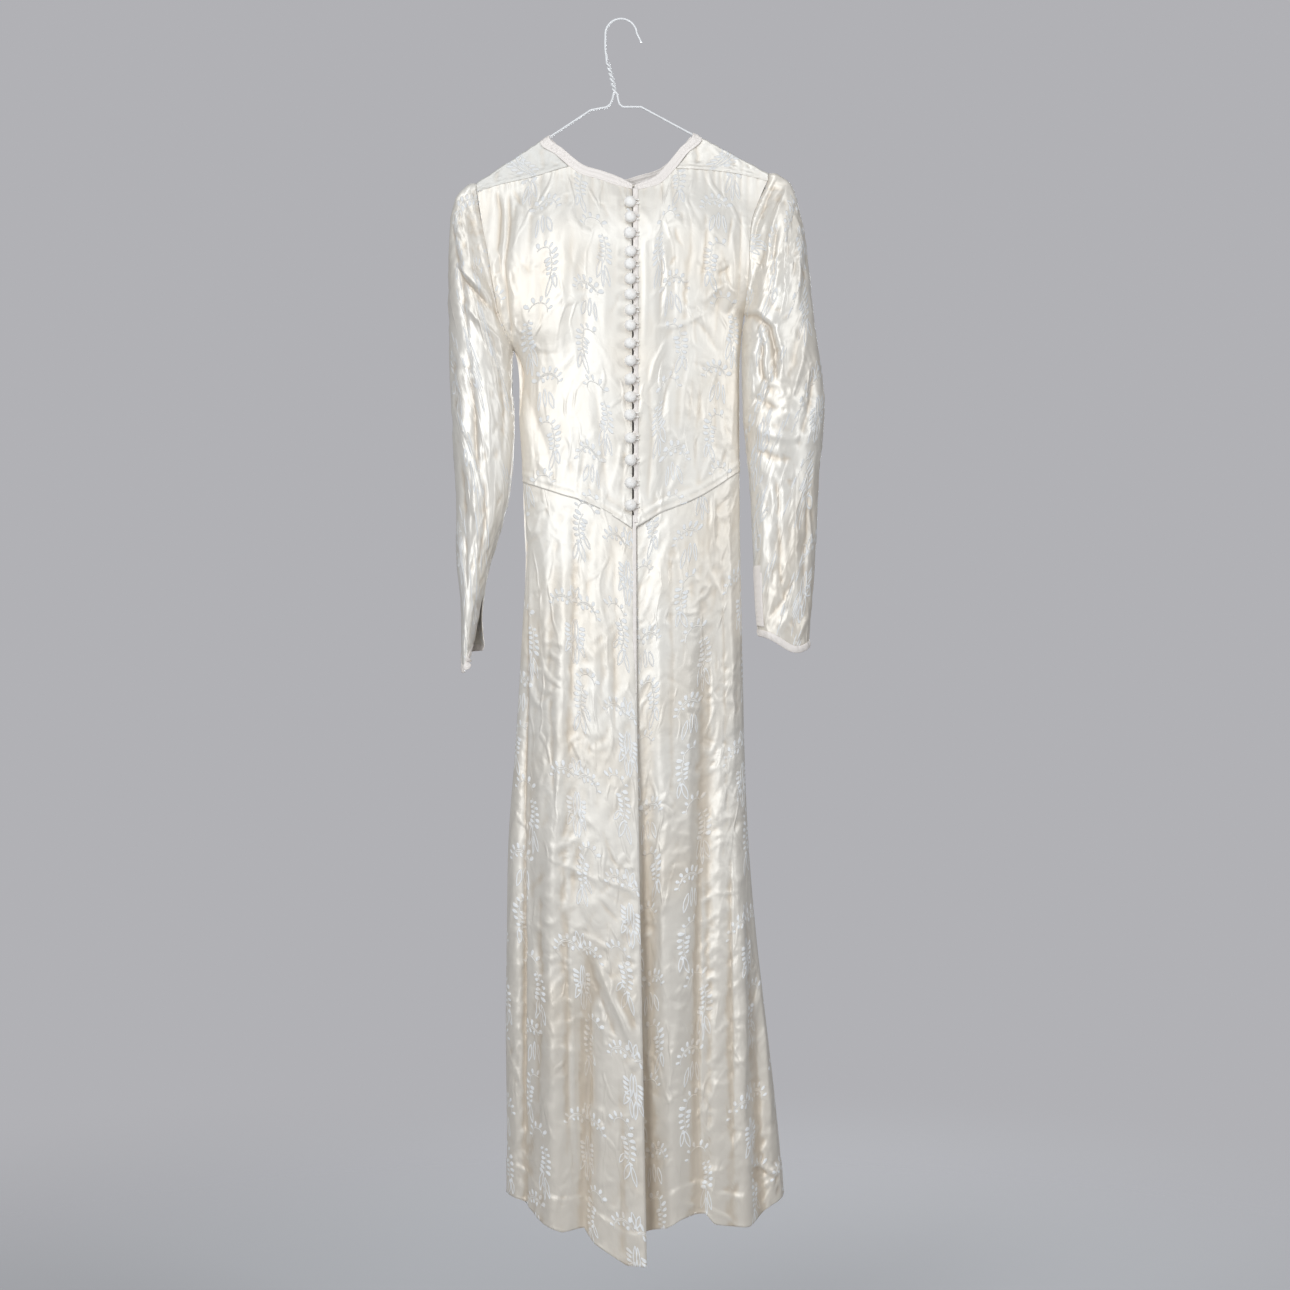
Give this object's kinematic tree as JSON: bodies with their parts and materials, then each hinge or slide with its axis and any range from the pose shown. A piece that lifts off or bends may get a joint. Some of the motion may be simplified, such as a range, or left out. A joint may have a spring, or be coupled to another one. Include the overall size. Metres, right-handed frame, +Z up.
{
  "type": "wedding dress on a wire hanger",
  "caption": "Floor-length figured satin wedding dress with long sleeves and a buttoned back, hanging flat and open on a white wire hanger.",
  "frame": {"origin": "the hook's resting point, inside the top of its crown, where a rail or nail bears", "axes": "+Z up; -Y towards a viewer of the buttoned back; +X to that viewer's right"},
  "size_m": [0.4888, 0.1231, 1.6069],
  "materials": {
    "satin": "ivory satin damask with a sprig figure, glossy ground",
    "binding": "pinkish cream crepe-back satin binding",
    "button_satin": "satin-covered dome buttons and rolled loops",
    "wire_coat": "white coating on steel wire"
  },
  "bodies": {
    "root": {"back_bodice_left": "satin", "back_bodice_right": "satin", "front_bodice": "satin", "yoke_left": "satin", "yoke_right": "satin", "skirt_back_left": "satin", "skirt_back_right": "satin", "skirt_front": "satin", "sleeve_left": "satin", "sleeve_right": "satin", "neck_binding_back_left": "binding", "neck_binding_back_right": "binding", "neck_binding_front": "binding", "skirt_opening_binding": "binding", "cuff_binding_left": "binding", "cuff_binding_right": "binding", "wrist_placket_right": "binding", "button_01": "button_satin", "button_02": "button_satin", "button_03": "button_satin", "button_04": "button_satin", "button_05": "button_satin", "button_06": "button_satin", "button_07": "button_satin", "button_08": "button_satin", "button_09": "button_satin", "button_10": "button_satin", "button_11": "button_satin", "button_12": "button_satin", "button_13": "button_satin", "button_14": "button_satin", "button_15": "button_satin", "button_16": "button_satin", "button_17": "button_satin", "button_18": "button_satin", "loop_01": "button_satin", "loop_02": "button_satin", "loop_03": "button_satin", "loop_04": "button_satin", "loop_05": "button_satin", "loop_06": "button_satin", "loop_07": "button_satin", "loop_08": "button_satin", "loop_09": "button_satin", "loop_10": "button_satin", "loop_11": "button_satin", "loop_12": "button_satin", "loop_13": "button_satin", "loop_14": "button_satin", "loop_15": "button_satin", "loop_16": "button_satin", "loop_17": "button_satin", "loop_18": "button_satin", "hanger": "wire_coat"}
  },
  "joints": []
}
